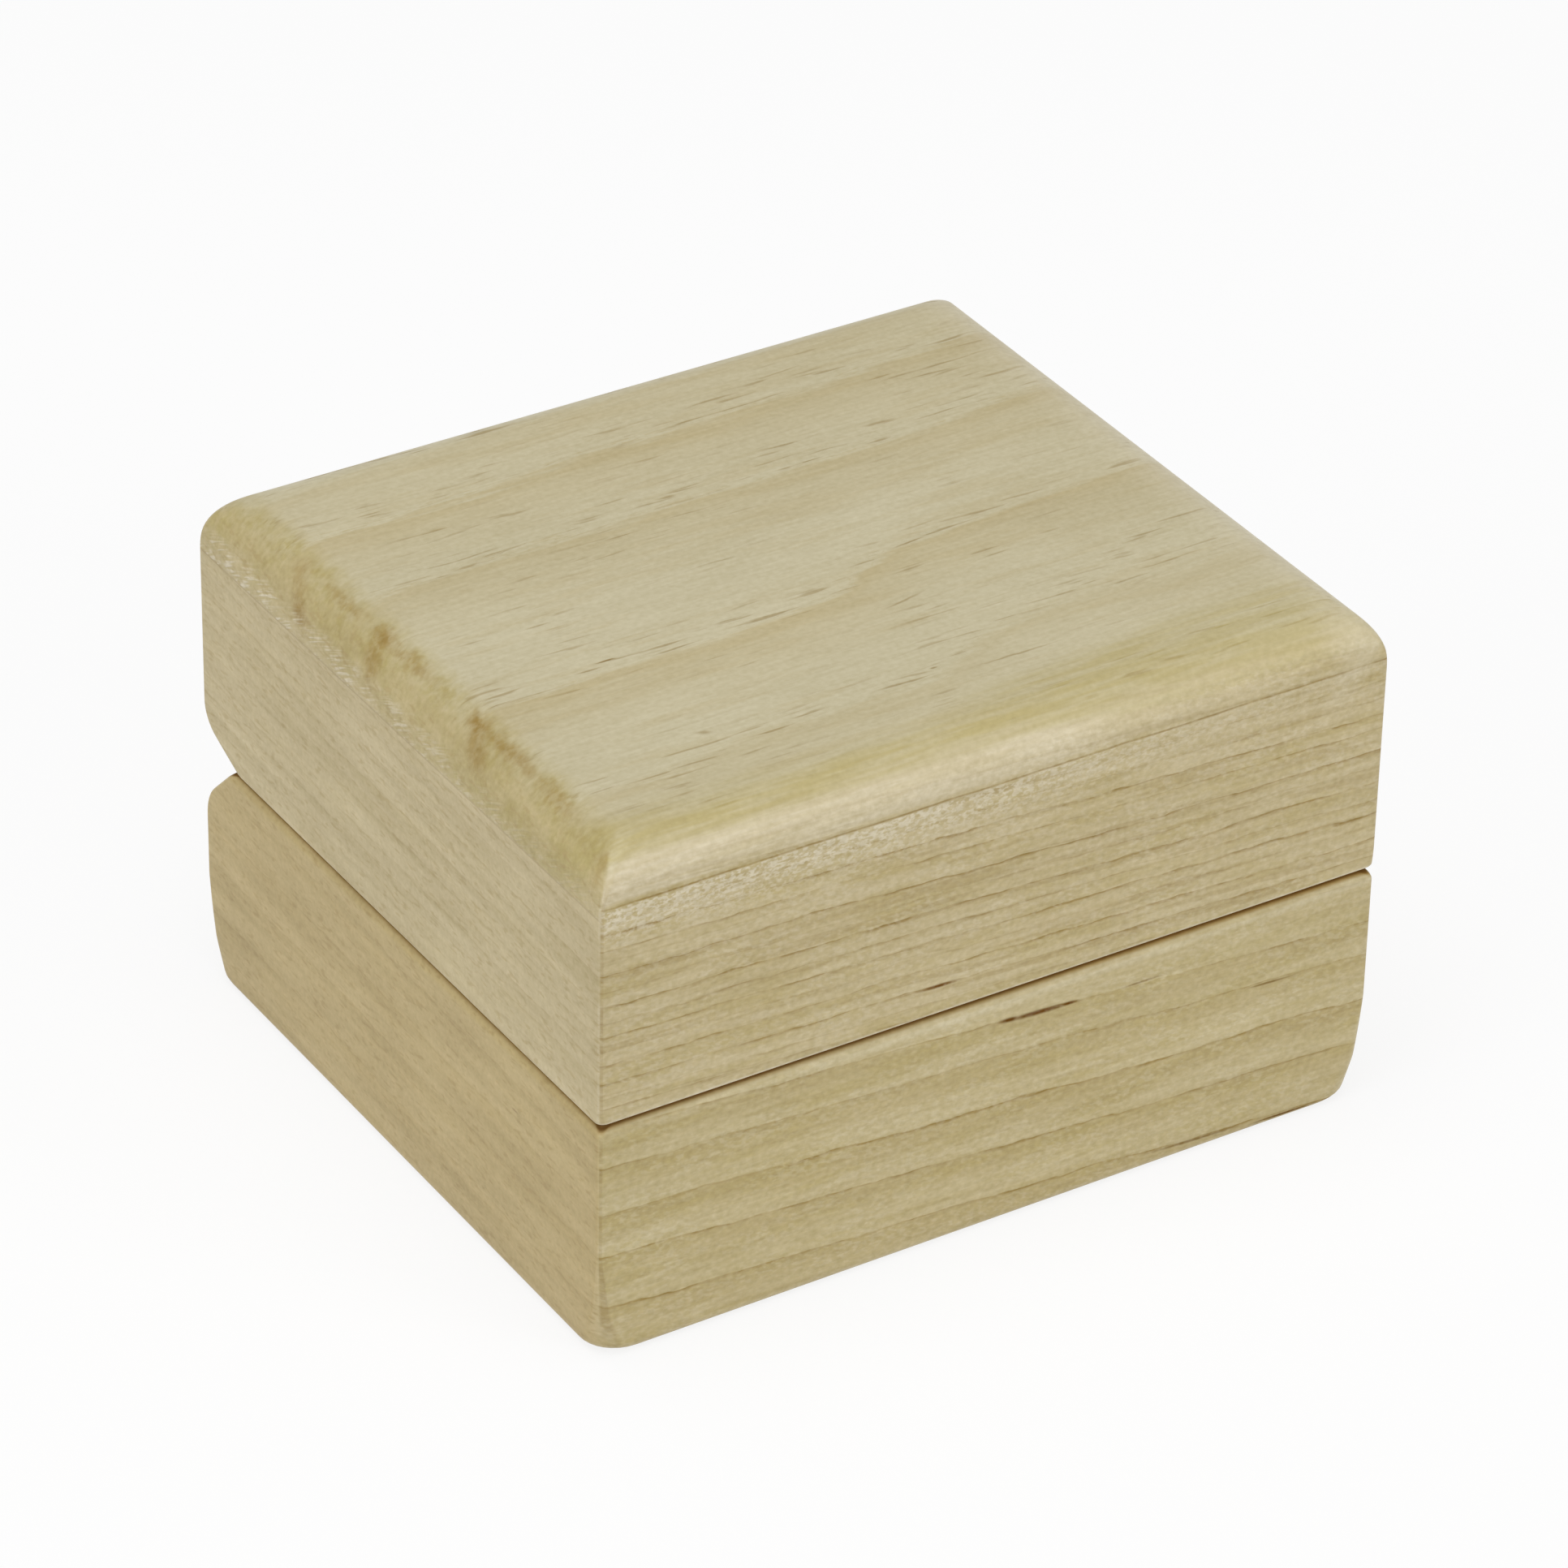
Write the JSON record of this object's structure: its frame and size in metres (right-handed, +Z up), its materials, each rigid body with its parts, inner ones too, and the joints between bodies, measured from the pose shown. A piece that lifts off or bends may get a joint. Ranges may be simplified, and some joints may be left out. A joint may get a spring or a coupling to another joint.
{
  "type": "wooden jewelry box",
  "caption": "Small hinged box of pale solid wood with rounded top edges, recessed back hinges and a padded, lined inside for a ring or other small jewellery.",
  "frame": {"origin": "middle of the underside, on the surface that the box stands on", "axes": "+X to the right along the front, +Y towards the hinges at the back, +Z up"},
  "size_m": [0.07, 0.0616, 0.045],
  "materials": {
    "wood": "pale solid wood, sanded smooth, satin",
    "brass": "brushed",
    "steel": "drawn wire",
    "magnet": "nickel plated",
    "velvet": "short pile cloth",
    "card": "matt board"
  },
  "bodies": {
    "base": {"base_block": "wood", "base_wall_lining": "velvet", "base_floor_card": "card", "ring_cushion_front": "velvet", "ring_cushion_rear": "velvet", "hinge_left_base_leaf": "brass", "hinge_right_base_leaf": "brass", "hinge_left_pin": "steel", "hinge_right_pin": "steel", "hinge_base_screws": "brass", "base_magnets": "magnet"},
    "lid": {"lid_block": "wood", "lid_wall_lining": "velvet", "lid_pad_card": "card", "lid_pad": "velvet", "hinge_left_lid_leaf": "brass", "hinge_right_lid_leaf": "brass", "hinge_lid_screws": "brass", "lid_magnets": "magnet"}
  },
  "joints": [
    {"name": "lid_hinge", "type": "hinge", "parent": "base", "child": "lid", "pos_m": [0, 0.02825, 0.0215], "axis": [-1, 0, 0], "range_deg": [0, 105]}
  ]
}
